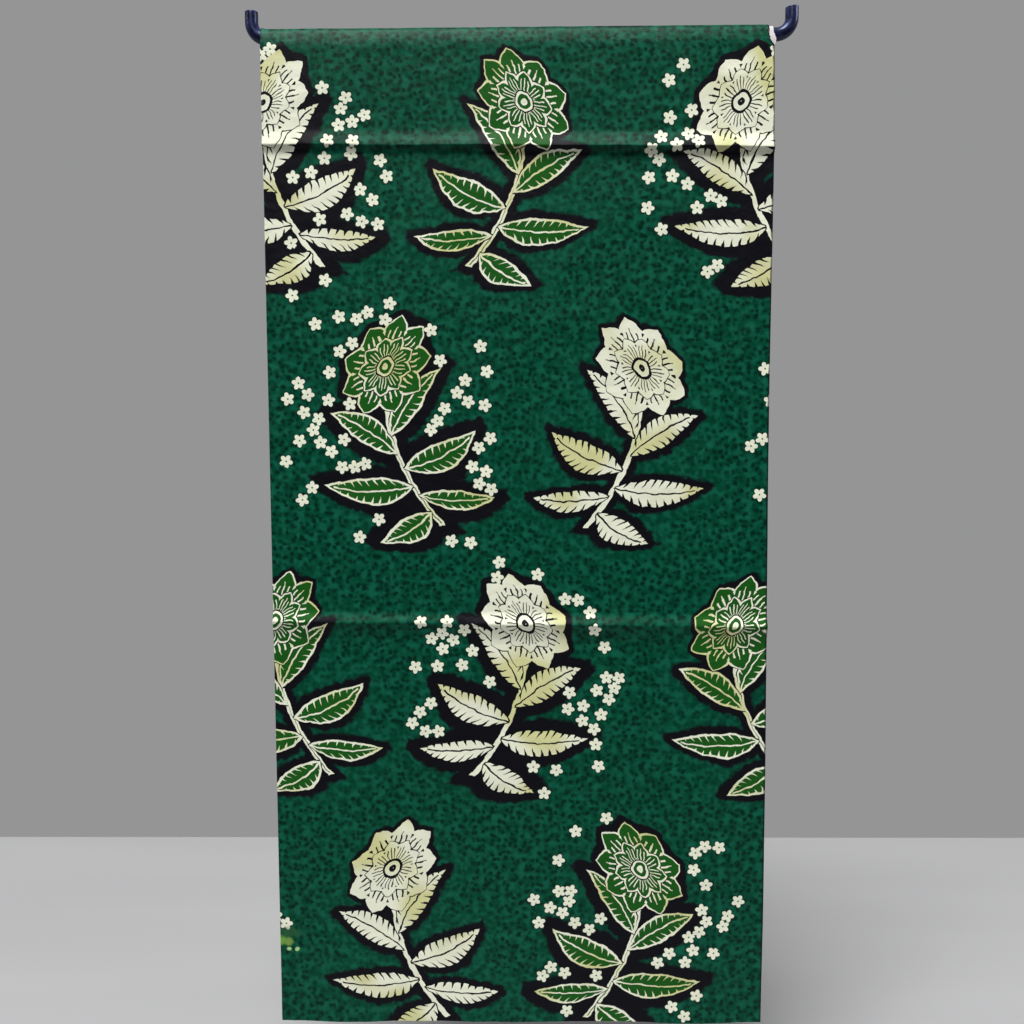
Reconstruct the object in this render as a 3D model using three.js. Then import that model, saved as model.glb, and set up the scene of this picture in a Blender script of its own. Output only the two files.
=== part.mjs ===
// A length of wax print cotton, folded in half along its length and hung over a display bar.
// Millimetres, +Z up and +X to the viewer's right. The show side of the cloth faces -Y.
// The origin is the middle of the bar's axis, where the bar is held.

import * as THREE from 'three';

// Driving dimensions

const BAR = {
  overall: 626,      // outside of one upturned end to the outside of the other
  diameter: 15,
  bendRadius: 19,    // of the tube's axis, at each elbow
  tipHeight: 31,     // top of the upturned ends, above the bar's axis
  tipRound: 1.5,
  sides: 24,
  bendSteps: 6,
};

const CLOTH = {
  leftEdge: -294.5,  // the lengthwise fold
  rightEdge: 284.5,  // the two selvedges
  layer: 1.1,        // wall of one layer
  layerGap: 0.5,     // between the two layers
  barClearance: 0.3,
  frontDrop: 1159,   // hem of the show side, below the bar's axis
  backDrop: 642,     // hem of the rear side
  columns: 11,       // points across one layer, right of the elbow
  foldArcSteps: 4,
};

// The stretch that turns over the bar reaches a little way down each side.
const TURN = { tail: 12, steps: 12, seam: 0.3 };

// At the bar the upper selvedge is drawn in and lets the lower one show beside it.
const SELVEDGE_PEEK = { width: 7, fullUntil: 2, goneBy: 18 };

// The cloth hangs a little askew: its pressed folds drop to the right in front, and rise behind.
// Over the bar it hangs true again, and so does the front hem.
const SKEW = { slope: 0.012, startsAt: 60, fullBy: 98, easesFrom: 720 };

// Sharp ridges left by the folding of the bolt: how far each stands out and how far its
// slopes reach above and below its crest.
const PRESSED_FOLDS = {
  front: [
    { drop: 123.5, proud: 6.0, above: 22, below: 12 },
    { drop: 664.5, proud: 2.6, above: 9, below: 24 },
  ],
  back: [
    { drop: 389, proud: 3.6, above: 14, below: 15 },
  ],
};

// Shallow upright waves, deepest at the hem.
const SOFT_WAVES = {
  front: [
    { middle: -212, halfWidth: 85, depth: 3.6, startsAt: 240 },
    { middle: -15, halfWidth: 120, depth: 2.4, startsAt: 420 },
    { middle: 205, halfWidth: 90, depth: 4.4, startsAt: 300 },
  ],
  back: [
    { middle: -150, halfWidth: 125, depth: 5.0, startsAt: 90 },
    { middle: 135, halfWidth: 140, depth: 4.0, startsAt: 150 },
  ],
};

// How far the selvedge side wanders outwards, by drop.
const EDGE_WANDER = [
  { drop: 0, out: 0.0 },
  { drop: 110, out: 1.6 },
  { drop: 430, out: 0.2 },
  { drop: 880, out: 2.0 },
  { drop: 1159, out: -0.6 },
];

// Rows of points down each fall: the widest spacing, and where they stand on a ridge's slopes.
const ROW_SPACING = 95;
const RIDGE_ROWS = [0.35, 0.7, 1];

const barRadius = BAR.diameter / 2;
const halfThickness = CLOTH.layer + CLOTH.layerGap / 2;
const hangRadius = barRadius + CLOTH.barClearance + halfThickness;
const elbowStart = BAR.overall / 2 - barRadius - BAR.bendRadius;

const smooth = (from, to, value) => THREE.MathUtils.smoothstep(value, from, to);

// Joins rings of points into one closed body. The outline is the ring seen along the sweep.
function loft(rings, outline) {
  const count = outline.length;
  const positions = rings.flatMap((ring) => ring.flatMap((point) => point.toArray()));
  const faces = [];
  for (let row = 0; row < rings.length - 1; row += 1) {
    for (let i = 0; i < count; i += 1) {
      const next = (i + 1) % count;
      const a = row * count + i;
      const b = row * count + next;
      const c = a + count;
      const d = b + count;
      faces.push(a, b, d, a, d, c);
    }
  }
  const last = (rings.length - 1) * count;
  for (const [a, b, c] of THREE.ShapeUtils.triangulateShape(outline, [])) {
    faces.push(a, c, b, last + a, last + b, last + c);
  }
  const geometry = new THREE.BufferGeometry();
  geometry.setAttribute('position', new THREE.Float32BufferAttribute(positions, 3));
  geometry.setIndex(faces);
  geometry.computeVertexNormals();
  return geometry;
}

// The bar: a round tube with both ends turned up, and rounded tips.

function barStations() {
  const armX = BAR.overall / 2 - barRadius;
  const stations = [];
  for (let step = 0; step <= BAR.bendSteps; step += 1) {
    const angle = (step / BAR.bendSteps) * (Math.PI / 2);
    stations.push({
      x: elbowStart + BAR.bendRadius * Math.sin(angle),
      z: BAR.bendRadius * (1 - Math.cos(angle)),
      angle,
      radius: barRadius,
    });
  }
  const tip = { x: armX, angle: Math.PI / 2 };
  stations.push({ ...tip, z: BAR.tipHeight - BAR.tipRound, radius: barRadius });
  stations.push({ ...tip, z: BAR.tipHeight, radius: barRadius - BAR.tipRound });
  const mirrored = stations.map(({ x, z, angle, radius }) => ({ x: -x, z, angle: -angle, radius }));
  return [...mirrored.reverse(), ...stations];
}

function barGeometry() {
  const turns = Array.from({ length: BAR.sides }, (_, i) => (i / BAR.sides) * 2 * Math.PI);
  const outline = turns.map((turn) => new THREE.Vector2(Math.cos(turn), Math.sin(turn)));
  const rings = barStations().map(({ x, z, angle, radius }) => outline.map((point) => {
    const across = radius * point.x;
    return new THREE.Vector3(
      x - across * Math.sin(angle),
      -radius * point.y,
      z + across * Math.cos(angle),
    );
  }));
  return loft(rings, outline);
}

// The cloth: two layers that share one lengthwise fold, as a hairpin outline of x and outward
// offset, swept down the back, over the bar and down the front.

function edgeWander(drop) {
  const after = EDGE_WANDER.findIndex((row) => row.drop > drop);
  if (after <= 0) return after === 0 ? EDGE_WANDER[0].out : EDGE_WANDER.at(-1).out;
  const low = EDGE_WANDER[after - 1];
  const high = EDGE_WANDER[after];
  return THREE.MathUtils.lerp(low.out, high.out, smooth(low.drop, high.drop, drop));
}

function hairpin(drop) {
  const { leftEdge, rightEdge, layerGap, columns, foldArcSteps } = CLOTH;
  const peek = SELVEDGE_PEEK.width
    * (1 - smooth(SELVEDGE_PEEK.fullUntil, SELVEDGE_PEEK.goneBy, drop));
  const under = rightEdge + edgeWander(drop);
  const upper = under - peek;
  const inGap = layerGap / 2;
  const foldCentre = leftEdge + halfThickness;
  const elbow = -elbowStart;
  const climbing = [0.35, 0.7, 1].map((part) => THREE.MathUtils.lerp(foldCentre, elbow, part));
  const across = (right) => [
    ...climbing,
    ...Array.from({ length: columns }, (_, i) => (
      THREE.MathUtils.lerp(elbow, right, (i + 1) / columns)
    )),
  ];
  const foldArc = (radius, steps) => Array.from({ length: steps + 1 }, (_, i) => {
    const turn = Math.PI / 2 + (i / steps) * Math.PI;
    return new THREE.Vector2(
      foldCentre + radius * Math.cos(turn),
      radius * Math.sin(turn),
    );
  });
  const layerSide = (right, offset) => across(right).map((x) => new THREE.Vector2(x, offset));
  return [
    ...layerSide(upper, halfThickness).reverse(),
    ...foldArc(halfThickness, foldArcSteps),
    ...layerSide(under, -halfThickness),
    ...layerSide(under, -inGap).reverse(),
    ...foldArc(inGap, 2).reverse(),
    ...layerSide(upper, inGap),
  ];
}

// Rise of the cloth where its folded edge rides up the left elbow, from the tube's side
// (lift 0) to its top (lift 1).
function climb(x, lift) {
  const reach = Math.max(0, -elbowStart - x);
  const riseOf = (radius) => radius - Math.sqrt(radius ** 2 - reach ** 2);
  return THREE.MathUtils.lerp(riseOf(BAR.bendRadius), riseOf(BAR.bendRadius - barRadius), lift);
}

function ridges(side, drop) {
  return PRESSED_FOLDS[side].reduce((sum, fold) => {
    const away = drop - fold.drop;
    const reach = away < 0 ? fold.above : fold.below;
    return sum + fold.proud * Math.max(0, 1 - Math.abs(away) / reach) ** 1.6;
  }, 0);
}

function waves(side, x, drop) {
  const hem = side === 'front' ? CLOTH.frontDrop : CLOTH.backDrop;
  return SOFT_WAVES[side].reduce((sum, wave) => {
    const across = Math.min(1, Math.abs(x - wave.middle) / wave.halfWidth);
    const swell = Math.cos((across * Math.PI) / 2) ** 2;
    return sum + wave.depth * swell * smooth(wave.startsAt, hem, drop);
  }, 0);
}

function skew(side, x, drop) {
  const { slope, startsAt, fullBy, easesFrom } = SKEW;
  const started = smooth(startsAt, fullBy, drop);
  if (side === 'back') return -slope * x * started;
  return slope * x * started * (1 - smooth(easesFrom, CLOTH.frontDrop, drop));
}

function fallPoint(side, point, drop) {
  const outwards = side === 'front' ? -1 : 1;
  const { x, y: offset } = point;
  const climbLeft = climb(x, 0) * (1 - smooth(TURN.tail, SKEW.startsAt, drop));
  return new THREE.Vector3(
    x,
    outwards * (hangRadius + ridges(side, drop) + waves(side, x, drop) + offset),
    climbLeft - drop - skew(side, x, drop),
  );
}

function turnPoint(point, angle) {
  const { x, y: offset } = point;
  const lift = Math.cos(angle);
  return new THREE.Vector3(
    x,
    (hangRadius + offset) * Math.sin(angle),
    (hangRadius + offset) * lift + climb(x, lift),
  );
}

// Drops of a fall's rows: each ridge has its own, and even ones fill the lengths between.
function rowDrops(side) {
  const hem = side === 'front' ? CLOTH.frontDrop : CLOTH.backDrop;
  const stops = [
    TURN.tail + TURN.seam,
    SELVEDGE_PEEK.goneBy,
    (SELVEDGE_PEEK.goneBy + SKEW.startsAt) / 2,
    SKEW.startsAt,
    ...PRESSED_FOLDS[side].flatMap(({ drop, above, below }) => [
      ...RIDGE_ROWS.map((part) => drop - part * above).reverse(),
      drop,
      ...RIDGE_ROWS.map((part) => drop + part * below),
    ]),
    hem,
  ];
  return stops.flatMap((stop, i) => {
    if (i === 0) return [stop];
    const rows = Math.ceil((stop - stops[i - 1]) / ROW_SPACING);
    return Array.from({ length: rows }, (_, row) => (
      THREE.MathUtils.lerp(stops[i - 1], stop, (row + 1) / rows)
    ));
  });
}

function fallGeometry(side) {
  const drops = rowDrops(side);
  if (side === 'back') drops.reverse();
  const rings = drops.map((drop) => hairpin(drop).map((point) => fallPoint(side, point, drop)));
  return loft(rings, hairpin(drops[0]));
}

function turnGeometry() {
  const tail = (side) => hairpin(TURN.tail).map((point) => fallPoint(side, point, TURN.tail));
  const arc = Array.from({ length: TURN.steps + 1 }, (_, step) => {
    const angle = Math.PI / 2 - (step / TURN.steps) * Math.PI;
    return hairpin(0).map((point) => turnPoint(point, angle));
  });
  return loft([tail('back'), ...arc, tail('front')], hairpin(0));
}

// The object

const paintedTube = new THREE.MeshStandardMaterial({ color: 0x1d2740, roughness: 0.25, metalness: 0.3 });
const frontPrint = new THREE.MeshStandardMaterial({ color: 0x124a38, roughness: 0.7, metalness: 0 });
const turnPrint = new THREE.MeshStandardMaterial({ color: 0x1f5c48, roughness: 0.6, metalness: 0 });
const backPrint = new THREE.MeshStandardMaterial({ color: 0x0e4030, roughness: 0.7, metalness: 0 });

const hungCloth = new THREE.Group();
const pieces = [
  { name: 'display_bar', geometry: barGeometry(), material: paintedTube },
  { name: 'cloth_turn_over_bar', geometry: turnGeometry(), material: turnPrint },
  { name: 'cloth_front_fall', geometry: fallGeometry('front'), material: frontPrint },
  { name: 'cloth_back_fall', geometry: fallGeometry('back'), material: backPrint },
];
for (const { name, geometry, material } of pieces) {
  const mesh = new THREE.Mesh(geometry, material);
  mesh.name = name;
  hungCloth.add(mesh);
}

export default hungCloth;
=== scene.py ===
import math

import bpy
from mathutils import Matrix, Vector, noise


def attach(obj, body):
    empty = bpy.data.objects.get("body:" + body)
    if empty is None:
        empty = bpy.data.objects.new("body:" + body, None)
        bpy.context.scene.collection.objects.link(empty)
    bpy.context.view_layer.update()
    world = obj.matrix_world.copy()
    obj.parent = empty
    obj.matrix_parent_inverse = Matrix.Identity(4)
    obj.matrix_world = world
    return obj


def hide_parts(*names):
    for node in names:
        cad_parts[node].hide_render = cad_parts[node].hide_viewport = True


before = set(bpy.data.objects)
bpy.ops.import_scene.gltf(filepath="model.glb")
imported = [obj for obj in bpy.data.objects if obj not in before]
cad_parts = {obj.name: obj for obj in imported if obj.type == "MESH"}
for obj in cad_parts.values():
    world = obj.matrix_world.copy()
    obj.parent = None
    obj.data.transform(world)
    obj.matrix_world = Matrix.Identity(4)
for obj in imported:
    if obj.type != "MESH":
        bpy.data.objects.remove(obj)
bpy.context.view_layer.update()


# Camera: in front of the cloth, level with its upper half and turned a little down. Its place is
# in metres, its turns are in degrees, and its lens and frame are in millimetres.

CAMERA_PLACE = (0.0056, -1.2882, -0.4332)
CAMERA_TURN, CAMERA_DIP, CAMERA_ROLL = 0.80, 4.775, -0.245
CAMERA_LENS, CAMERA_FRAME = 38.67, 36

bpy.ops.object.camera_add(
    location=CAMERA_PLACE,
    rotation=(
        Matrix.Rotation(math.radians(CAMERA_TURN), 3, "Z")
        @ Matrix.Rotation(math.radians(90 - CAMERA_DIP), 3, "X")
        @ Matrix.Rotation(math.radians(CAMERA_ROLL), 3, "Z")
    ).to_euler(),
)
camera = bpy.context.object
camera.data.sensor_width = CAMERA_FRAME
camera.data.lens = CAMERA_LENS
bpy.context.scene.camera = camera


# Display bar: a steel tube with both ends turned up and closed, in glossy dark navy paint.
# It carries the cloth, which lies on the straight stretch and on the foot of the left elbow.

MM = 0.001

BAR_RADIUS = 7.5 * MM
BAR_BEND = 18 * MM
BAR_HALF = 313.5 * MM
BAR_TIP_HEIGHT = 30 * MM
BAR_TIP_ROUND = 0.8 * MM
ELBOW_START = BAR_HALF - BAR_RADIUS - BAR_BEND
BAR_SIDES, STRAIGHT_STEPS, ELBOW_STEPS = 40, 6, 14

# The right tip is cut a little aslant, and rises outwards by this share.
TIP_SLANT = 0.10

# Each step of the rounded tip: how far up the rounding it is, and how far in.
TIP_STEPS = [(0.38, 0.08), (0.71, 0.29), (0.92, 0.62), (1.0, 1.0)]


class Wire:
    """A socket of the material being made. Sums and comparisons on it add Math nodes."""

    tree = None

    def __init__(self, socket):
        self.socket = socket

    @classmethod
    def node(cls, kind, output, values, **settings):
        """Adds a node: its settings first, then its inputs, each a number, a tuple or a wire."""
        node = cls.tree.nodes.new(kind)
        for name, setting in settings.items():
            setattr(node, name, setting)
        for key, value in values.items():
            if isinstance(value, Wire):
                cls.tree.links.new(value.socket, node.inputs[key])
            else:
                node.inputs[key].default_value = value
        return cls(node.outputs[output])

    def twin(self, output):
        """Another output of the node that this wire comes from."""
        return Wire(self.socket.node.outputs[output])

    @classmethod
    def sum_of(cls, operation, *values):
        return cls.node("ShaderNodeMath", 0, dict(enumerate(values)), operation=operation)

    def __add__(self, other):
        return self.sum_of("ADD", self, other)

    def __radd__(self, other):
        return self.sum_of("ADD", other, self)

    def __sub__(self, other):
        return self.sum_of("SUBTRACT", self, other)

    def __rsub__(self, other):
        return self.sum_of("SUBTRACT", other, self)

    def __mul__(self, other):
        return self.sum_of("MULTIPLY", self, other)

    def __rmul__(self, other):
        return self.sum_of("MULTIPLY", other, self)

    def __truediv__(self, other):
        return self.sum_of("DIVIDE", self, other)

    def __mod__(self, other):
        return self.sum_of("FLOORED_MODULO", self, other)

    def __abs__(self):
        return self.sum_of("ABSOLUTE", self)

    def __lt__(self, other):
        return self.sum_of("LESS_THAN", self, other)

    def __gt__(self, other):
        return self.sum_of("GREATER_THAN", self, other)

    def min(self, other):
        return self.sum_of("MINIMUM", self, other)

    def max(self, other):
        return self.sum_of("MAXIMUM", self, other)

    def floor(self):
        return self.sum_of("FLOOR", self)

    def round(self):
        return self.sum_of("ROUND", self)

    def sqrt(self):
        return self.sum_of("SQRT", self)

    def sin(self):
        return self.sum_of("SINE", self)

    def cos(self):
        return self.sum_of("COSINE", self)

    def atan2(self, other):
        return self.sum_of("ARCTAN2", self, other)

    def pingpong(self, scale):
        return self.sum_of("PINGPONG", self, scale)

    def ramp(self, start, end):
        """0 at start and 1 at end, eased between them."""
        values = {"Value": self, "From Min": start, "From Max": end}
        return self.node("ShaderNodeMapRange", 0, values, interpolation_type="SMOOTHSTEP")

    def mix(self, low, high):
        """low where this wire is 0 and high where it is 1."""
        return self.node("ShaderNodeMix", 0, {0: self, 2: low, 3: high})

    def blend(self, low, high):
        """The same for colours."""
        return self.node("ShaderNodeMix", 2, {0: self, 6: low, 7: high}, data_type="RGBA")


def cloud(place, scale, detail=2.0):
    """Soft noise from 0 to 1, about 0.5, with about this many patches to each unit of place."""
    return Wire.node("ShaderNodeTexNoise", 0, {"Vector": place, "Scale": scale, "Detail": detail})


def screen(red, green, blue):
    """A colour given as it shows on a screen, 0 to 255."""
    steps = [value / 255 for value in (red, green, blue)]
    return (*[((s + 0.055) / 1.055) ** 2.4 if s > 0.04 else s / 12.92 for s in steps], 1.0)


def new_material(name):
    """A material whose tree Wire now builds in, and its surface shader."""
    material = bpy.data.materials.new(name)
    material.use_nodes = True
    Wire.tree = material.node_tree
    return material, material.node_tree.nodes["Principled BSDF"]


def set_fixed(shader, **values):
    for name, value in values.items():
        shader.inputs[name.replace("_", " ")].default_value = value


def set_wired(shader, **wires):
    for name, wire in wires.items():
        Wire.tree.links.new(wire.socket, shader.inputs[name.replace("_", " ")])


def bump(height, distance):
    return Wire.node("ShaderNodeBump", 0, {"Height": height, "Distance": distance, "Strength": 1.0})


bpy.ops.mesh.primitive_circle_add(
    vertices=BAR_SIDES, radius=BAR_RADIUS, fill_type="NOTHING", rotation=(0, math.pi / 2, 0)
)
bar_tube = bpy.context.object
bar_tube.name = "bar_tube"
bpy.ops.object.transform_apply(location=False, rotation=True, scale=False)
bpy.ops.object.mode_set(mode="EDIT")
bpy.ops.mesh.select_all(action="SELECT")
step = ELBOW_START / STRAIGHT_STEPS
for _ in range(STRAIGHT_STEPS):
    bpy.ops.mesh.extrude_region_move(TRANSFORM_OT_translate={"value": (step, 0, 0)})
bpy.ops.mesh.spin(
    steps=ELBOW_STEPS, angle=math.pi / 2, center=(ELBOW_START, 0, BAR_BEND), axis=(0, 1, 0)
)
straight = BAR_TIP_HEIGHT - BAR_TIP_ROUND - BAR_BEND
bpy.ops.mesh.extrude_region_move(TRANSFORM_OT_translate={"value": (0, 0, straight)})
done_up, done_in = 0.0, 0.0
for up, inwards in TIP_STEPS:
    bpy.ops.mesh.extrude_region_move(
        TRANSFORM_OT_translate={"value": (0, 0, (up - done_up) * BAR_TIP_ROUND)}
    )
    shrink = (BAR_RADIUS - inwards * BAR_TIP_ROUND) / (BAR_RADIUS - done_in * BAR_TIP_ROUND)
    bpy.ops.transform.resize(
        value=(shrink, shrink, 1),
        center_override=(BAR_HALF - BAR_RADIUS, 0, 0),
    )
    done_up, done_in = up, inwards
bpy.ops.mesh.edge_face_add()
bpy.ops.mesh.select_all(action="SELECT")
bpy.ops.mesh.normals_make_consistent(inside=False)
bpy.ops.object.mode_set(mode="OBJECT")
bpy.ops.object.modifier_add(type="MIRROR")
bpy.ops.object.modifier_apply(modifier="Mirror")
below_rounding = BAR_TIP_HEIGHT - BAR_TIP_ROUND * 1.01
for vertex in bar_tube.data.vertices:
    if vertex.co.x > 0 and vertex.co.z > below_rounding:
        vertex.co.z += (vertex.co.x - BAR_HALF + BAR_RADIUS) * TIP_SLANT
bpy.ops.object.shade_smooth_by_angle(angle=math.radians(40))

NAVY = screen(18, 21, 42)
NAVY_WORN = screen(42, 46, 90)
NAVY_RUBBED = screen(82, 88, 124)
PAINT_GLINT = screen(176, 194, 236)

paint, shader = new_material("navy_paint")
place = Wire.node("ShaderNodeTexCoord", "Object", {})
wear = cloud(place, 90, 4)
rub = cloud(place, 420, 3)
navy = wear.ramp(0.38, 0.66).blend(NAVY, NAVY_WORN)
set_wired(
    shader,
    Base_Color=(rub * wear).ramp(0.40, 0.52).blend(navy, NAVY_RUBBED),
    Roughness=0.20 + wear * 0.18,
    Normal=bump(wear, 0.08 * MM),
)
set_fixed(shader, Specular_IOR_Level=0.5, Specular_Tint=PAINT_GLINT)
bar_tube.data.materials.append(paint)
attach(bar_tube, "root")
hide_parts("display_bar")


# Hung cloth: one uncut length of wax printed cotton, 1.16 m wide. It is folded in half along
# its length, print outwards, and hung over the bar by its own weight. The fold is at the left
# and both selvedges are at the right, and the folds of the bolt still show as ridges across.

# Lengths are in millimetres here, up to the last step of each point.
CUT_HALF = 580.0
LEFT_EDGE = -294.5
RIGHT_EDGE = 284.5
CLOTH_THICKNESS = 0.36
LAYER_RADIUS = 0.85          # from the middle of the doubled cloth to either layer
HANG_RADIUS = 9.15           # from the bar's axis to the middle of the doubled cloth
TURN_LENGTH = math.pi * HANG_RADIUS
FRONT_DROP = 1159.0
BACK_DROP = 642.0
CUT_LENGTH = FRONT_DROP + TURN_LENGTH + BACK_DROP
FOLD_LINE = LEFT_EDGE + LAYER_RADIUS + CLOTH_THICKNESS / 2
ARC_REACH = LAYER_RADIUS * math.pi / 2
ELBOW_AT = -ELBOW_START / MM
BAR_BEND_MM = BAR_BEND / MM
BAR_RADIUS_MM = BAR_RADIUS / MM
ELBOW_SHARE = 0.75           # how much of the elbow's rise the cloth follows
SMOOTH_DROP = 12.0           # the cloth is smooth down to this drop
CRUMPLED_DROP = 110.0        # and fully crumpled below this one

# Places of the pressed folds, as drops from the bar's axis: two in front and one behind.
FIRST_FOLD, SECOND_FOLD, REAR_FOLD = 123.5, 672.0, 389.0

# drop, proud, reach above, reach below, how hollow it is below
PRESSED_FOLDS = {
    "front": [(FIRST_FOLD, 5.1, 20, 9, 1.5), (SECOND_FOLD, 5.2, 15, 26, 1.7)],
    "back": [(REAR_FOLD, 3.8, 16, 17, 1.5)],
}

# how proud each fold is along its length: place across, share
SWELLS = {
    FIRST_FOLD: [
        (-300, 0.70), (-150, 0.78), (-30, 1.08), (120, 1.12), (165, 0.98), (210, 1.10), (300, 1.02),
    ],
    SECOND_FOLD: [
        (-300, 0.80), (-200, 0.95), (-90, 0.85), (20, 1.10), (95, 1.15), (170, 0.80), (300, 1.15),
    ],
    REAR_FOLD: [(-300, 1.10), (-130, 0.85), (10, 1.05), (140, 0.75), (300, 1.10)],
}

# How far a fold strays from its drop, and by what share from its height, each with the length
# over which that changes, and what share of the rise above it is rounded.
FOLD_STRAYS, FOLD_STRAY_LENGTH = 0.9, 55
FOLD_UNEVEN, FOLD_UNEVEN_LENGTH = 0.16, 24
FOLD_ROUNDED = 0.6

# In front the stiff cloth leaves the bar early, at this slant, and stands off the bar's side. It
# does so fully at this drop, and by less at the first fold.
LEAVES_BAR = math.radians(16)
STANDS_OFF, STANDS_OFF_DROP, STANDS_OFF_AT_FOLD = 2.4, 14, 1.1

# middle, half width, depth, drop where it starts
SOFT_WAVES = {
    "front": [(-212, 85, 3.6, 240), (-15, 120, 2.4, 420), (205, 90, 4.4, 300)],
    "back": [(-150, 125, 5.0, 90), (135, 140, 4.0, 150)],
}

# middle, drop, slant in degrees, half length, half width, depth
CREASES = {
    "front": [
        (-262, 66, -58, 62, 9, 0.9),
        (-226, 52, -42, 74, 10, 0.7),
        (247, 60, 48, 70, 10, 0.9),
        (212, 44, 30, 60, 8, 0.6),
        (-90, 106, 5, 110, 8, 0.5),
        (118, 150, -4, 90, 9, -0.5),
        (60, 322, 8, 150, 16, 0.7),
        (-150, 470, -7, 120, 14, 0.6),
        (165, 548, 5, 110, 12, -0.6),
        (-30, 690, 4, 140, 12, -0.6),
        (-70, 852, 6, 160, 18, 0.8),
        (195, 980, -9, 110, 16, 0.8),
        (-215, 1040, 12, 80, 15, -0.8),
    ],
    "back": [
        (-250, 70, -55, 70, 10, 0.9),
        (240, 66, 46, 76, 10, 0.9),
        (-40, 180, 7, 150, 15, 0.7),
        (130, 300, -6, 110, 13, -0.6),
        (-140, 440, 5, 120, 15, 0.7),
        (80, 560, -8, 130, 16, 0.8),
    ],
}

# depth, length across, length down, sort of noise
CRUMPLES = [(0.9, 95, 130, 1), (0.30, 34, 42, 7)]

# drop, how far the selvedge side wanders outwards
EDGE_WANDER = [(0, 0.0), (110, 1.6), (430, 0.2), (880, 2.0), (1000, 2.0), (1159, 0.8), (1200, 0.8)]

# The upper selvedge is drawn in and frayed at the bar, and lets the lower one show. It is drawn
# in fully down to the first drop, and not at all below the second.
PEEK, PEEK_FULL, PEEK_GONE = 6.0, 4.0, 17.5
FRAY, FRAY_LENGTH = 4.0, 3.3

# drop, how far the lower selvedge reaches past its line
LOWER_WANDER = [(0, -0.6), (3, 0.6), (8, 2.1), (11, 1.8), (16, 0.0), (17, 0.0)]

# Below the bar the rows of the cloth slope a little: from the first drop on, fully from the
# second, and in front less again from the third down to the hem.
SKEW, SKEW_STARTS, SKEW_FULL, SKEW_EASES = 0.012, 60, 98, 720

# The show layer hangs free of the other towards the hem and the selvedges.
FREE_BY, FREE_VARIES = 0.7, 0.6
FREE_LENGTH_ACROSS, FREE_LENGTH_DOWN = 70, 150
FREE_BELOW = 0.35            # share of a fall below which it does
FREE_RIGHT_OF = 120          # place right of which it does too
FREE_AT_RIGHT = 0.7          # share of the whole that it reaches there
FREE_DROPS = (30, 200)       # drops between which that grows
FREE_REACH = 60              # distance from the lengthwise fold within which it does less

# How slack the cloth lies on the bar and how ragged the hems are, with the lengths of both.
SLACK, SLACK_LENGTH = 0.35, 26
RAGGED, RAGGED_LENGTH, RAGGED_BAND = 0.6, 30, 60

# near what, within what distance, step between the rows of points
ROW_STEPS = [("bar", 34, 1.9), ("folds", 5, 0.9), ("folds", 26, 2.1), ("folds", CUT_LENGTH, 7.2)]
COLUMNS_PAST_ELBOW = 58


def smooth(start, end, value):
    """0 up to start and 1 from end on, eased between them."""
    t = min(1.0, max(0.0, (value - start) / (end - start)))
    return t * t * (3 - 2 * t)


def eased(table, place):
    """The value at a place, eased between the rows of a table of places and values."""
    for (low, low_value), (high, high_value) in zip(table, table[1:]):
        if place < high:
            return low_value + (high_value - low_value) * smooth(low, high, place)
    return table[-1][1]


def waver(x, y, sort):
    """Smooth noise from about -1 to 1. Each use of it has a sort of its own."""
    return noise.noise(Vector((x, y, sort)))


def climb(x, lift):
    """Rise of the cloth on the left elbow, at the tube's side (lift 0) to its top (lift 1)."""
    reach = max(0.0, ELBOW_AT - x)
    at_side = BAR_BEND_MM - math.sqrt(BAR_BEND_MM**2 - reach**2)
    inner = BAR_BEND_MM - BAR_RADIUS_MM
    at_top = inner - math.sqrt(inner**2 - reach**2)
    return ELBOW_SHARE * (at_side + (at_top - at_side) * lift)


def ridges(side, x, drop):
    """How proud the pressed folds stand: a gentle rise from above and a sharp step below."""
    total = 0.0
    for at, proud, above, below, hollow in PRESSED_FOLDS[side]:
        away = drop - at - FOLD_STRAYS * waver(x / FOLD_STRAY_LENGTH, at, 3)
        if away < 0:
            hollowed = max(0.0, 1 + away / above) ** 2
            rise = FOLD_ROUNDED * smooth(-above, 0, away) + (1 - FOLD_ROUNDED) * hollowed
        else:
            rise = max(0.0, 1 - away / below) ** hollow
        uneven = eased(SWELLS[at], x) + FOLD_UNEVEN * waver(x / FOLD_UNEVEN_LENGTH, at, 0)
        total += proud * uneven * rise
    return total


def standing_off(side, drop):
    """How far the stiff cloth stands off the bar in front, down to the foot of the first fold."""
    if side == "back":
        return 0.0
    early = HANG_RADIUS * (1 / math.cos(LEAVES_BAR) - 1)
    out = early + (STANDS_OFF - early) * (1 - (1 - min(1.0, drop / STANDS_OFF_DROP)) ** 2)
    fold_at, _, _, below, hollow = PRESSED_FOLDS["front"][0]
    out -= (STANDS_OFF - STANDS_OFF_AT_FOLD) * smooth(STANDS_OFF_DROP, fold_at, drop)
    return out * min(1.0, max(0.0, 1 - (drop - fold_at) / below)) ** hollow


def waves(side, x, drop):
    hem = FRONT_DROP if side == "front" else BACK_DROP
    total = 0.0
    for middle, half, depth, starts in SOFT_WAVES[side]:
        across = min(1.0, abs(x - middle) / half)
        total += depth * math.cos(across * math.pi / 2) ** 2 * smooth(starts, hem, drop)
    return total


def creases(side, x, drop):
    total = 0.0
    for middle, at, slant, half_length, half_width, depth in CREASES[side]:
        turn = math.radians(slant)
        right, down = x - middle, drop - at
        along = (right * math.cos(turn) + down * math.sin(turn)) / half_length
        away = (down * math.cos(turn) - right * math.sin(turn)) / half_width
        if abs(along) < 1 and abs(away) < 3:
            total += depth * (1 - along * along) ** 2 * math.exp(-away * away) * (1 - 0.3 * away)
    return total


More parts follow.
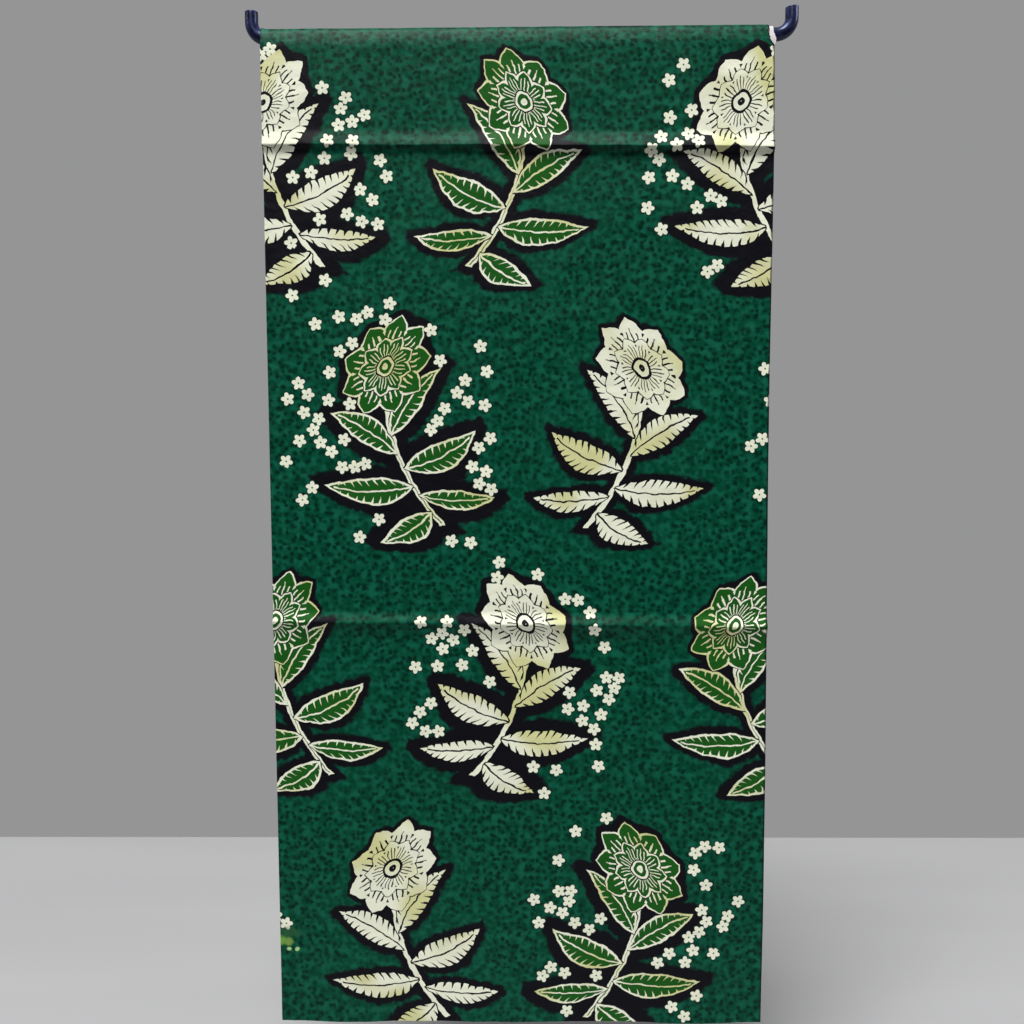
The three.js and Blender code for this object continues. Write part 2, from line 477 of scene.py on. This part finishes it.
def crumple(x, drop):
    total = 0.0
    for depth, across, down, sort in CRUMPLES:
        total += depth * waver(x / across, drop / down, sort)
    return total * smooth(SMOOTH_DROP, CRUMPLED_DROP, drop)


def skew(side, x, drop):
    started = smooth(SKEW_STARTS, SKEW_FULL, drop)
    if side == "back":
        return -SKEW * x * started
    return SKEW * x * started * (1 - smooth(SKEW_EASES, FRONT_DROP, drop))


def parting(x, drop, hem):
    """How far the show layer hangs free of the other, towards the hem and the selvedges."""
    at_side = smooth(FREE_RIGHT_OF, RIGHT_EDGE, x) * smooth(*FREE_DROPS, drop)
    free = smooth(FREE_BELOW * hem, hem, drop) + FREE_AT_RIGHT * at_side
    varied = waver(x / FREE_LENGTH_ACROSS, drop / FREE_LENGTH_DOWN, 11)
    return free * (FREE_BY + FREE_VARIES * varied)


def draped(across, along):
    """Where a point of the cut hangs: across from the lengthwise fold, along from the front hem."""
    if along < FRONT_DROP:
        side, outwards, drop, hem = "front", -1, FRONT_DROP - along, FRONT_DROP
    elif along > FRONT_DROP + TURN_LENGTH:
        side, outwards, drop, hem = "back", 1, along - FRONT_DROP - TURN_LENGTH, BACK_DROP
    else:
        side, outwards, drop, hem = "turn", 0, 0.0, FRONT_DROP
    bend = max(-1.0, min(1.0, across / ARC_REACH)) * math.pi / 2
    past = max(0.0, abs(across) - ARC_REACH)
    x = FOLD_LINE - LAYER_RADIUS * math.cos(bend) + past
    offset = LAYER_RADIUS * math.sin(bend)
    if x > ELBOW_AT:
        right = RIGHT_EDGE + eased(EDGE_WANDER, drop)
        if across > 0:
            drawn_in = PEEK * (1 - smooth(PEEK_FULL, PEEK_GONE, drop))
            frayed = FRAY * waver(along / FRAY_LENGTH, 0, 13) * smooth(0, 2, drawn_in)
            right += frayed - drawn_in
        else:
            right += eased(LOWER_WANDER, drop)
        flat_right = FOLD_LINE + CUT_HALF - ARC_REACH
        x = ELBOW_AT + (x - ELBOW_AT) * (right - ELBOW_AT) / (flat_right - ELBOW_AT)
    if side == "turn":
        angle = (along - FRONT_DROP) / HANG_RADIUS - math.pi / 2
        lift = math.cos(angle)
        slack = SLACK * (1 + waver(x / SLACK_LENGTH, angle, 9)) * lift * lift
        past_leaving = max(0.0, LEAVES_BAR - math.pi / 2 - angle)
        radius = HANG_RADIUS / math.cos(past_leaving) + offset + slack
        point = (x, radius * math.sin(angle), radius * lift + climb(x, lift))
    else:
        form = ridges(side, x, drop) + waves(side, x, drop) + creases(side, x, drop)
        form = max(0.0, form + crumple(x, drop)) + standing_off(side, drop)
        if across > 0:
            offset += parting(x, drop, hem) * smooth(0, FREE_REACH, past)
        risen = climb(x, 0) * (1 - smooth(SMOOTH_DROP, SKEW_STARTS, drop))
        ragged = RAGGED * waver(across / RAGGED_LENGTH, hem, 5)
        ragged *= smooth(hem - RAGGED_BAND, hem, drop)
        point = (
            x,
            outwards * (HANG_RADIUS + form + offset),
            risen - drop - skew(side, x, drop) + ragged,
        )
    return Vector(point) * MM


def rows_along():
    """Places of the rows of points, which are closer on the ridges and round the bar."""
    behind_bar = FRONT_DROP + TURN_LENGTH
    fine = {
        "bar": [FRONT_DROP + TURN_LENGTH / 2],
        "folds": [FRONT_DROP - FIRST_FOLD, FRONT_DROP - SECOND_FOLD, behind_bar + REAR_FOLD],
    }
    places = [0.0]
    while places[-1] < CUT_LENGTH:
        here = places[-1]
        for kind, reach, step in ROW_STEPS:
            if min(abs(here - place) for place in fine[kind]) < reach:
                break
        places.append(min(CUT_LENGTH, here + step))
    return places


def columns_across():
    """Places of the columns of points: few on the elbow, and evenly spaced to its right."""
    elbow = ELBOW_AT - FOLD_LINE + ARC_REACH
    steps = range(1, COLUMNS_PAST_ELBOW + 1)
    right = [elbow + (CUT_HALF - elbow) * step / COLUMNS_PAST_ELBOW for step in steps]
    half = [ARC_REACH / 3, ARC_REACH * 2 / 3, ARC_REACH, 0.3 * elbow, 0.62 * elbow, elbow, *right]
    return [-place for place in reversed(half)] + [0.0] + half


rows = rows_along()
columns = columns_across()
bpy.ops.mesh.primitive_grid_add(
    x_subdivisions=len(columns) - 1, y_subdivisions=len(rows) - 1, size=2
)
hung_cloth = bpy.context.object
hung_cloth.name = "hung_cloth"
mesh = hung_cloth.data
cut_places = []
for vertex in mesh.vertices:
    column = round((vertex.co.x + 1) / 2 * (len(columns) - 1))
    row = round((vertex.co.y + 1) / 2 * (len(rows) - 1))
    cut_places.append((columns[column], rows[row]))
for vertex, (across, along) in zip(mesh.vertices, cut_places):
    vertex.co = draped(across, along)
cut_map = mesh.uv_layers.active
cut_map.name = "cut"
for loop in mesh.loops:
    across, along = cut_places[loop.vertex_index]
    cut_map.uv[loop.index].vector = (across * MM, along * MM)
bpy.ops.object.modifier_add(type="SOLIDIFY")
solidify = hung_cloth.modifiers["Solidify"]
solidify.thickness = CLOTH_THICKNESS * MM
solidify.offset = 0
bpy.ops.object.modifier_apply(modifier="Solidify")
bpy.ops.object.mode_set(mode="EDIT")
bpy.ops.mesh.select_all(action="SELECT")
bpy.ops.mesh.normals_make_consistent(inside=False)
bpy.ops.object.mode_set(mode="OBJECT")
bpy.ops.object.shade_smooth_by_angle(angle=math.radians(50))


# The cloth's print is a generic one of leafy sprays, which shows alike on both faces under a thin
# waxy finish. Lengths are in metres on the flat cut again. There u runs across and v along, and
# on a single spray p runs across and q up.

REPEAT_ACROSS, REPEAT_ALONG = 0.270, 0.298
PRINT_SHIFT_U, PRINT_SHIFT_V = -0.015, 0.030
HAND_WOBBLE = 0.006
SPRAY_TILT = math.radians(-13)
SPRAY_BOW, SPRAY_BOW_SHIFT = 2.2, 0.008
STEM_MIDDLE, STEM_HALF_LENGTH, STEM_HALF_WIDTH, STEM_TAPER = -0.03, 0.092, 0.0026, 0.006
LEAF_STAGGER = 0.011
RIB_HALF_WIDTH = 0.0009
VEIN_HALF_WIDTH = 0.0005
FLOWER_AT = 0.072
EYE_RADIUS, EYE_RINGS = 0.0102, 750    # the rings are drawn by a wave, in radians to a metre
FLOWER_HALO = 0.034
LEAF_OUTLINE, FLOWER_OUTLINE = 0.0016, 0.0015
LINED_EDGE = 0.0026
SHADOW_REACH, SHADOW_NEAR_BLOSSOMS, SHADOW_FEATHER = 0.009, 0.006, 0.010
SPOT_SPACING, SPOT_SCATTER = 0.0079, 0.85

# Small blossoms are scattered about slanting rows, in a ragged oval round half of the sprays.
# Those that would stand closer than this room, in spacings, are left out.
BLOSSOM_SPACING, BLOSSOM_SCATTER = 0.0192, 0.78
BLOSSOM_RADIUS, BLOSSOM_LOBES, BLOSSOM_HEART = 0.0080, 5, 0.0010
BLOSSOM_ROWS = math.radians(33)
BLOSSOM_SHIFT_U, BLOSSOM_SHIFT_V = 0.005, 0.020
OVAL_RADIUS, OVAL_NARROWED, OVAL_RAGGED = 0.142, 1.35, 0.05
BLOSSOM_ROOM = 0.33

# A dark line along the upper selvedge is partly a printed border and partly painted shade where the
# edge rounds off,
# and the lower selvedge has a bare edge: how far from the lengthwise fold each starts and is full.
SELVEDGE_LINE_AND_SHADE = (0.5775, 0.5790)
UNPRINTED = (0.5730, 0.5738)
THREAD_PITCH = 0.0011

INK = screen(14, 14, 20)
CREAM = screen(230, 232, 210)
STRAW = screen(206, 206, 150)
LEAF_GREEN = screen(26, 84, 24)
GROUND = screen(0, 66, 45)
GROUND_MARK = screen(0, 38, 27)
GROUND_LIGHT = screen(12, 88, 66)
BARE_COTTON = screen(198, 193, 193)

# base, angle, length, width, bend, strokes
LEAVES = [
    (-0.092, -16, 0.080, 0.0135, -0.40, 9),
    (-0.058, 14, 0.098, 0.0165, -0.45, 11),
    (-0.018, 44, 0.092, 0.0155, 0.42, 11),
]

# radius, petals, turn, inner radius
PETAL_RINGS = [(0.054, 9, 0.0, 0.006), (0.033, 9, 0.5, 0.004)]

# Painted glare near the left edge, just above the front hem, painted into the print's colour: a
# dull green haze, a yellow-green core and two small pale painted highlights.
# across, along, half width, half height, strength, colour
PAINTED_GLARE_MARKS = [
    (0.012, 0.1100, 0.0150, 0.0065, 0.60, screen(48, 94, 56)),
    (0.002, 0.1000, 0.0070, 0.0065, 0.97, screen(106, 160, 62)),
    (0.011, 0.0985, 0.0065, 0.0050, 0.97, screen(114, 148, 72)),
    (0.011, 0.0895, 0.0031, 0.0024, 0.85, screen(176, 220, 150)),
    (0.021, 0.0895, 0.0029, 0.0029, 0.85, screen(176, 220, 150)),
]


def leaf(p, q, base, angle, length, width, bend, strokes):
    """Distance from a leaf's edge, and its drawn strokes."""
    right, up = math.cos(math.radians(angle)), math.sin(math.radians(angle))
    q = q - base
    t = (p * right + q * up) / length
    hump = t * (1 - t) * 4
    side = abs((q * right - p * up) / width - hump * bend)
    half = hump * (1.25 - t * 0.5)
    edge = ((side - half) * width).max((abs(t - 0.5) - 0.5) * length)
    reach = side / half.max(0.02)
    wave = (t * strokes - side * 0.9).pingpong(0.5) * 2
    stroke = wave < (reach - 0.36) * 0.62
    rib = (side * width < RIB_HALF_WIDTH) * (t < 0.9)
    return edge, stroke.max(rib)


def petals(p, q, radius, count, turn, inner):
    """Distance from the edge of a ring of petals, and its drawn strokes."""
    r = (p * p + q * q).sqrt()
    spoke = q.atan2(p) * (count / math.tau) + turn
    off = (spoke - spoke.round()) * (math.tau / count)
    across = abs(r * off.sin())
    t = (r * off.cos() - inner) / (radius - inner)
    width = (t * (1 - t) * 4).max(-2.0) * (0.6 + t * 0.55) * (radius * 3 / count)
    reach = across / width.max(0.0006)
    stroke = ((reach * 2.5).pingpong(0.5) * 2 < 0.3) * (t < 0.66) * (reach < 1)
    vein = (across < VEIN_HALF_WIDTH) * (t < 0.75)
    return across - width, stroke.max(vein)


def spray(p, q):
    """The whole motif: distance from its drawn edge, its strokes, and distance from it all."""
    p = p - q * q * SPRAY_BOW + SPRAY_BOW_SHIFT
    side = (p > 0) * 2 - 1
    past_stem = abs(q - STEM_MIDDLE) - STEM_HALF_LENGTH
    stem = (abs(p) - (STEM_HALF_WIDTH - q * STEM_TAPER)).max(past_stem)
    shape, strokes, outside = stem, p * 0, stem
    layers = [(leaf(abs(p), q - side * LEAF_STAGGER, *row), LEAF_OUTLINE) for row in LEAVES]
    q = q - FLOWER_AT
    layers += [(petals(p, q, *ring), FLOWER_OUTLINE) for ring in PETAL_RINGS]
    eye = (p * p + q * q).sqrt()
    layers.append(((eye - EYE_RADIUS, (eye * EYE_RINGS).sin() > 0.3), FLOWER_OUTLINE))
    for (edge, drawn), outline in layers:
        on_top = edge < outline
        shape = on_top.mix(shape, edge)
        strokes = on_top.mix(strokes, drawn)
        outside = outside.min(edge)
    return shape, strokes, outside.min(eye - FLOWER_HALO)


def turned(x, y, angle):
    across = x * math.cos(angle) - y * math.sin(angle)
    along = x * math.sin(angle) + y * math.cos(angle)
    return across, along


def repeats(u, v):
    """Which sort of brick of the print a point is in, and its place on that brick's spray."""
    row = (v / REPEAT_ALONG).floor()
    u = u - row % 2 * (REPEAT_ACROSS / 2)
    column = (u / REPEAT_ACROSS).floor()
    p = u - (column + 0.5) * REPEAT_ACROSS
    q = v - (row + 0.5) * REPEAT_ALONG
    outlined = (column + (row / 2).floor()) % 2
    blossomed = (outlined + row) % 2
    p, q = turned(p * (1 - (column + row) % 2 * 2), q, SPRAY_TILT)
    return p, q, outlined, blossomed


def joined(u, v):
    return Wire.node("ShaderNodeCombineXYZ", 0, {0: u, 1: v})


def parted(vector):
    u = Wire.node("ShaderNodeSeparateXYZ", 0, {0: vector})
    return u, u.twin(1)


wax_print, shader = new_material("wax_print")
place = Wire.node("ShaderNodeUVMap", 0, {}, uv_map="cut")
u, v = parted(place)
wobble = cloud(place, 75).twin("Color")
wobble_u, wobble_v = parted(wobble)
drawn_u = u + (wobble_u - 0.5) * HAND_WOBBLE + PRINT_SHIFT_U
drawn_v = v + (wobble_v - 0.5) * HAND_WOBBLE + PRINT_SHIFT_V
p, q, outlined, blossomed = repeats(drawn_u, drawn_v)
shape, strokes, outside = spray(p, q)

mottle = cloud(place, 60, 3)
marks = cloud(place, 150, 1.5)
lights = cloud(place, 105) + (mottle - 0.5) * 0.4
from_spot = Wire.node(
    "ShaderNodeTexVoronoi",
    "Distance",
    {"Vector": joined(drawn_u, drawn_v), "Scale": 1 / SPOT_SPACING, "Randomness": SPOT_SCATTER},
    voronoi_dimensions="2D",
)
spots = 1 - (from_spot + (marks - 0.5) * 1.1).ramp(0.0, 0.56)
spots = spots * (0.40 + outside.ramp(0.014, 0.036) * 0.60)
ground = (lights + from_spot * 0.16).ramp(0.44, 0.76).blend(GROUND, GROUND_LIGHT)
ground = spots.blend(ground, GROUND_MARK)

feather = cloud(place, 130)
shadow = outside - SHADOW_REACH - blossomed * SHADOW_NEAR_BLOSSOMS
shadow = shadow + (feather - 0.5) * SHADOW_FEATHER
shaded = 1 - shadow.ramp(-0.002, 0.003)

seeds = {
    "Vector": joined(*turned(u - BLOSSOM_SHIFT_U, v - BLOSSOM_SHIFT_V, BLOSSOM_ROWS)),
    "Scale": 1 / BLOSSOM_SPACING,
    "Randomness": BLOSSOM_SCATTER,
}
nearest = Wire.node("ShaderNodeTexVoronoi", "Position", seeds, voronoi_dimensions="2D")
room = Wire.node(
    "ShaderNodeTexVoronoi", "Radius", seeds, voronoi_dimensions="2D", feature="N_SPHERE_RADIUS"
)
chance, _ = parted(nearest.twin("Color"))
centre_u, centre_v = turned(*parted(nearest), -BLOSSOM_ROWS)
centre_u, centre_v = centre_u + BLOSSOM_SHIFT_U, centre_v + BLOSSOM_SHIFT_V
near_p, near_q, _, cluster = repeats(centre_u + PRINT_SHIFT_U, centre_v + PRINT_SHIFT_V)
_, _, clear = spray(near_p, near_q)
from_spray = (near_p * near_p * OVAL_NARROWED + near_q * near_q).sqrt()
in_oval = from_spray + (chance - 0.5) * OVAL_RAGGED < OVAL_RADIUS
grown = in_oval * cluster * (clear > BLOSSOM_RADIUS * 1.2) * (room > BLOSSOM_ROOM)
from_u, from_v = u - centre_u, v - centre_v
from_centre = (from_u * from_u + from_v * from_v).sqrt()
lobes = abs((from_v.atan2(from_u) * (BLOSSOM_LOBES / 2) + chance * 9).cos())
past_edge = from_centre - (0.55 + lobes * 0.45) * BLOSSOM_RADIUS

faded = cloud(place, 11, 1).ramp(0.46, 0.62)
cream = faded.blend(CREAM, STRAW)
solid = strokes.blend(cream, INK)
lined = (strokes + (shape > -LINED_EDGE)).min(1.0).blend(LEAF_GREEN, cream)
coloured = shaded.blend(ground, INK)
coloured = ((1 - past_edge.ramp(0.0002, 0.0030)) * grown * 0.7).blend(coloured, GROUND_MARK)
heart = from_centre < BLOSSOM_HEART
coloured = ((past_edge < 0) * grown).blend(coloured, heart.blend(CREAM, LEAF_GREEN))
coloured = (shape < 0).blend(coloured, outlined.blend(solid, lined))

# Paints the glare marks into the colour, over the print.
for at_u, at_v, half_u, half_v, strength, glare_colour in PAINTED_GLARE_MARKS:
    away_u, away_v = (u - at_u) / half_u, (v - at_v) / half_v
    away = away_u * away_u + away_v * away_v + (marks - 0.5) * 1.6
    coloured = ((1 - away.ramp(0.1, 1.5)) * strength).blend(coloured, glare_colour)
# The upper selvedge's dark line: a printed border and painted shade at the rounded edge.
selvedge_line_and_shade = (u + (feather - 0.5) * 0.004).ramp(*SELVEDGE_LINE_AND_SHADE) * 0.8
coloured = selvedge_line_and_shade.blend(coloured, INK)
unprinted = (-1 * u + (feather - 0.5) * 0.006).ramp(*UNPRINTED)
coloured = unprinted.blend(coloured, BARE_COTTON)

dulled = cloud(place, 24, 3)
threads = math.tau / THREAD_PITCH
weave = ((u * threads).sin() * (v * threads).sin()) * 0.04
set_wired(
    shader,
    Base_Color=coloured,
    Roughness=0.26 + dulled * 0.26,
    Normal=bump(weave + dulled * 2.4 + feather * 0.5, 1.0 * MM),
)
set_fixed(shader, Specular_IOR_Level=0.09)
hung_cloth.data.materials.append(wax_print)
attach(hung_cloth, "root")
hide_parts("cloth_turn_over_bar", "cloth_front_fall", "cloth_back_fall")


# Stage: a pale matt floor some way below the cloth, whose far edge meets the plain grey ground.

FLOOR_PLACE = (0, -0.06, -1.30)
FLOOR_WIDTH, FLOOR_DEPTH = 9, 2
FLOOR_GREY, FLOOR_GREY_LIGHT = screen(160, 160, 161), screen(164, 164, 165)

bpy.ops.mesh.primitive_plane_add(size=1, location=FLOOR_PLACE)
floor = bpy.context.object
floor.name = "floor"
floor.scale = (FLOOR_WIDTH, FLOOR_DEPTH, 1)
matt, shader = new_material("pale_matt")
place = Wire.node("ShaderNodeTexCoord", "Object", {})
faint = cloud(place, 6)
set_wired(shader, Base_Color=faint.ramp(0.35, 0.65).blend(FLOOR_GREY, FLOOR_GREY_LIGHT))
set_fixed(shader, Roughness=0.75, Specular_IOR_Level=0.2)
floor.data.materials.append(matt)


# Studio light: one large soft lamp high in front, which grazes the cloth and picks out its
# ridges, a weak one at head height for the sheen, and a narrow upright one at either side.
# The ground is a plain mid grey behind the cloth and dark grey in front, behind the camera.

GREY_IN_FRONT, GREY_BEHIND = screen(62, 62, 63), screen(149, 149, 150)

# name, place, aimed at, size, power
LAMPS = [
    ("key", (-1.1, -3.0, 6.0), (0, 0, -0.5), (3.2, 3.2), 840),
    ("front", (-0.4, -3.4, 1.8), (0, 0, -0.4), (1.2, 0.7), 14),
    ("strip_left", (-3.5, -1.0, 1.2), (0, 0, 0), (0.20, 1.3), 12),
    ("strip_right", (3.4, -0.5, 1.2), (0, 0, 0), (0.18, 1.3), 46),
]

for name, location, target, size, power in LAMPS:
    aim = (Vector(target) - Vector(location)).to_track_quat("-Z", "Y").to_euler()
    bpy.ops.object.light_add(type="AREA", location=location, rotation=aim)
    lamp = bpy.context.object
    lamp.name = name
    lamp.data.shape = "RECTANGLE"
    lamp.data.size, lamp.data.size_y = size
    lamp.data.energy = power

world = bpy.data.worlds.new("studio")
world.use_nodes = True
Wire.tree = world.node_tree
_, behind = parted(Wire.node("ShaderNodeTexCoord", "Generated", {}))
grey = behind.ramp(-0.1, 0.2).blend(GREY_IN_FRONT, GREY_BEHIND)
Wire.tree.links.new(grey.socket, world.node_tree.nodes["Background"].inputs["Color"])
bpy.context.scene.world = world
bpy.context.scene.view_settings.view_transform = "Standard"
